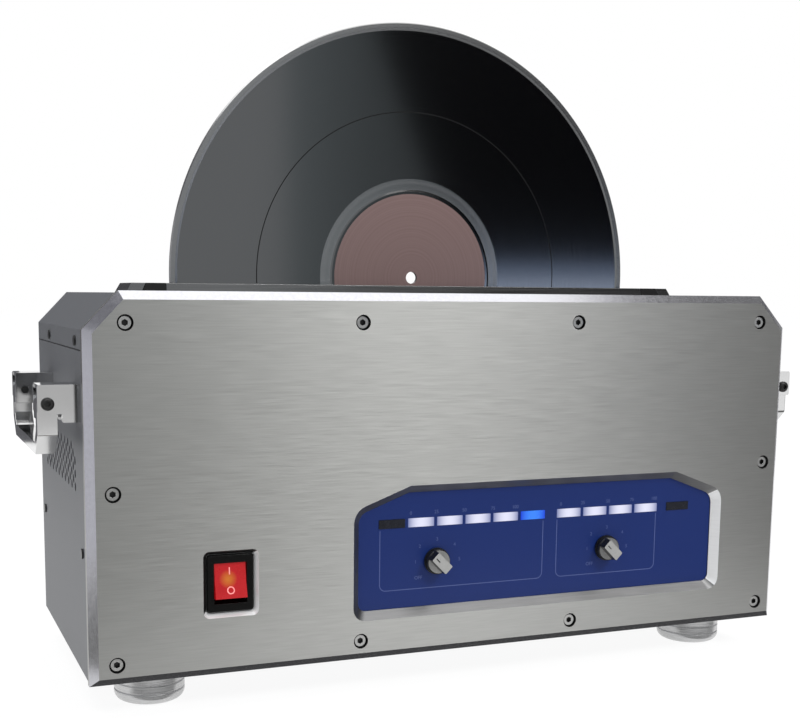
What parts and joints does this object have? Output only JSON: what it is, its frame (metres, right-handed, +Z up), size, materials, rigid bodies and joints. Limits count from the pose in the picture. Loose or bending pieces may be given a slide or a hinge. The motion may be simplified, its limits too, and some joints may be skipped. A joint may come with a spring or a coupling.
{
  "type": "record cleaning machine",
  "caption": "Slot-fed ultrasonic bath and dryer for a gramophone record, in a sheet metal case with a brushed panel, blue control window, side handles and turned feet.",
  "frame": {"origin": "on the table, under the middle of the machine's overall width and depth", "axes": "+X to the right as the machine is faced, along its longest extent; +Y to its back, along its shortest extent; +Z up"},
  "size_m": [0.46, 0.2178, 0.377],
  "materials": {
    "brushed_aluminium": "horizontally brushed, clear anodised",
    "painted_case": "fine textured grey paint",
    "chrome": "polished chrome plate",
    "plain_steel": "zinc plated sheet and screws",
    "stainless_tank": "satin stainless steel",
    "turned_aluminium": "turned and clear anodised",
    "foot_rubber": "matte",
    "roller_rubber": "soft satin",
    "bezel_aluminium": "dark anodised",
    "guide_plastic": "moulded",
    "blue_fascia": "printed and clear coated",
    "white_light": "lit diffuser",
    "blue_light": "lit diffuser",
    "dark_light": "unlit diffuser",
    "circuit_board": "solder mask",
    "knob_plastic": "moulded, grey grip",
    "switch_black": "moulded",
    "rocker_red": "lit translucent",
    "gear_nylon": "moulded",
    "bush_bronze": "turned",
    "nickel_brass": "turned",
    "motor_can": "black enamel",
    "works_plastic": "moulded",
    "reservoir_plastic": "translucent",
    "hose_silicone": "soft",
    "transducer_alloy": "turned",
    "lever_red": "dipped",
    "record_vinyl": "pressed grooves",
    "record_label": "plain printed paper"
  },
  "bodies": {
    "chassis": {"front_panel": "brushed_aluminium", "front_panel_screws": "chrome", "top_cover": "painted_case", "case_screws": "plain_steel", "left_side_panel": "painted_case", "right_side_panel": "painted_case", "base_plate": "plain_steel", "rear_panel": "painted_case", "rear_panel_screws": "plain_steel", "slot_bezel": "bezel_aluminium", "slot_end_guides": "guide_plastic", "feet": "turned_aluminium", "foot_pads": "foot_rubber", "foot_screws": "plain_steel", "handle_brackets": "chrome", "handle_pins": "chrome", "handle_bracket_screws": "plain_steel", "control_fascia": "blue_fascia", "white_light_bars": "white_light", "blue_light_bar": "blue_light", "dark_light_bars": "dark_light", "display_board": "circuit_board", "timer_switches": "plain_steel", "power_switch_frame": "switch_black", "wash_tank": "stainless_tank", "transducers": "transducer_alloy", "roller_bushes": "bush_bronze", "drive_motor": "motor_can", "motor_bracket": "plain_steel", "left_blower": "works_plastic", "left_air_duct": "works_plastic", "right_blower": "works_plastic", "right_air_duct": "works_plastic", "water_reservoir": "reservoir_plastic", "circulation_pump": "works_plastic", "tank_drain_valve": "nickel_brass", "fill_hose": "hose_silicone", "drain_tap": "nickel_brass", "power_supply": "circuit_board", "ultrasonic_generator": "circuit_board", "power_inlet": "switch_black"},
    "left_handle": {"left_handle": "chrome"},
    "right_handle": {"right_handle": "chrome"},
    "wash_knob": {"wash_knob": "knob_plastic", "wash_timer_shaft": "plain_steel"},
    "dry_knob": {"dry_knob": "knob_plastic", "dry_timer_shaft": "plain_steel"},
    "power_rocker": {"power_rocker": "rocker_red"},
    "record": {"record_disc": "record_vinyl", "record_labels": "record_label"},
    "drive_roller": {"drive_roller": "roller_rubber", "drive_shaft": "plain_steel", "drive_gear": "gear_nylon"},
    "idler_roller": {"idler_roller": "roller_rubber", "idler_shaft": "plain_steel"},
    "motor_pinion": {"motor_pinion": "plain_steel"},
    "left_fan": {"left_fan_rotor": "works_plastic"},
    "right_fan": {"right_fan_rotor": "works_plastic"},
    "drain_lever": {"drain_lever": "lever_red"}
  },
  "joints": [
    {"name": "left_handle_lift", "type": "hinge", "parent": "chassis", "child": "left_handle", "pos_m": [-0.225, -0.0276, 0.1607], "axis": [0, 1, 0], "range_deg": [0, 90]},
    {"name": "right_handle_lift", "type": "hinge", "parent": "chassis", "child": "right_handle", "pos_m": [0.225, -0.0276, 0.1607], "axis": [0, -1, 0], "range_deg": [0, 90]},
    {"name": "wash_timer_turn", "type": "hinge", "parent": "chassis", "child": "wash_knob", "pos_m": [-0.0188, -0.1051, 0.07], "axis": [0, 1, 0], "range_deg": [-90, 135]},
    {"name": "dry_timer_turn", "type": "hinge", "parent": "chassis", "child": "dry_knob", "pos_m": [0.0904, -0.1051, 0.07], "axis": [0, 1, 0], "range_deg": [-90, 135]},
    {"name": "power_rocker_tip", "type": "hinge", "parent": "chassis", "child": "power_rocker", "pos_m": [-0.1371, -0.0977, 0.0672], "axis": [1, 0, 0], "range_deg": [0, 25]},
    {"name": "record_turn", "type": "hinge", "parent": "chassis", "child": "record", "pos_m": [0.006, -0.0031, 0.2262], "axis": [0, 1, 0], "continuous": true},
    {"name": "drive_roller_turn", "type": "hinge", "parent": "chassis", "child": "drive_roller", "pos_m": [0.08655, -0.0031, 0.08668], "axis": [0, 1, 0], "continuous": true},
    {"name": "idler_roller_turn", "type": "hinge", "parent": "chassis", "child": "idler_roller", "pos_m": [-0.07455, -0.0031, 0.08668], "axis": [0, 1, 0], "continuous": true},
    {"name": "motor_turn", "type": "hinge", "parent": "chassis", "child": "motor_pinion", "pos_m": [0.10776, -0.0031, 0.1079], "axis": [0, 1, 0], "continuous": true},
    {"name": "left_fan_turn", "type": "hinge", "parent": "chassis", "child": "left_fan", "pos_m": [-0.19, -0.0261, 0.1242], "axis": [1, 0, 0], "continuous": true},
    {"name": "right_fan_turn", "type": "hinge", "parent": "chassis", "child": "right_fan", "pos_m": [0.19, -0.0261, 0.1242], "axis": [1, 0, 0], "continuous": true},
    {"name": "drain_lever_turn", "type": "hinge", "parent": "chassis", "child": "drain_lever", "pos_m": [-0.1, 0.0849, 0.0387], "axis": [0, 0, 1], "range_deg": [0, 90]}
  ],
  "couplings": [
    {"joint": "drive_roller_turn", "follows": "record_turn", "ratio": -15.08},
    {"joint": "idler_roller_turn", "follows": "record_turn", "ratio": -15.08},
    {"joint": "motor_turn", "follows": "record_turn", "ratio": 30.16}
  ]
}
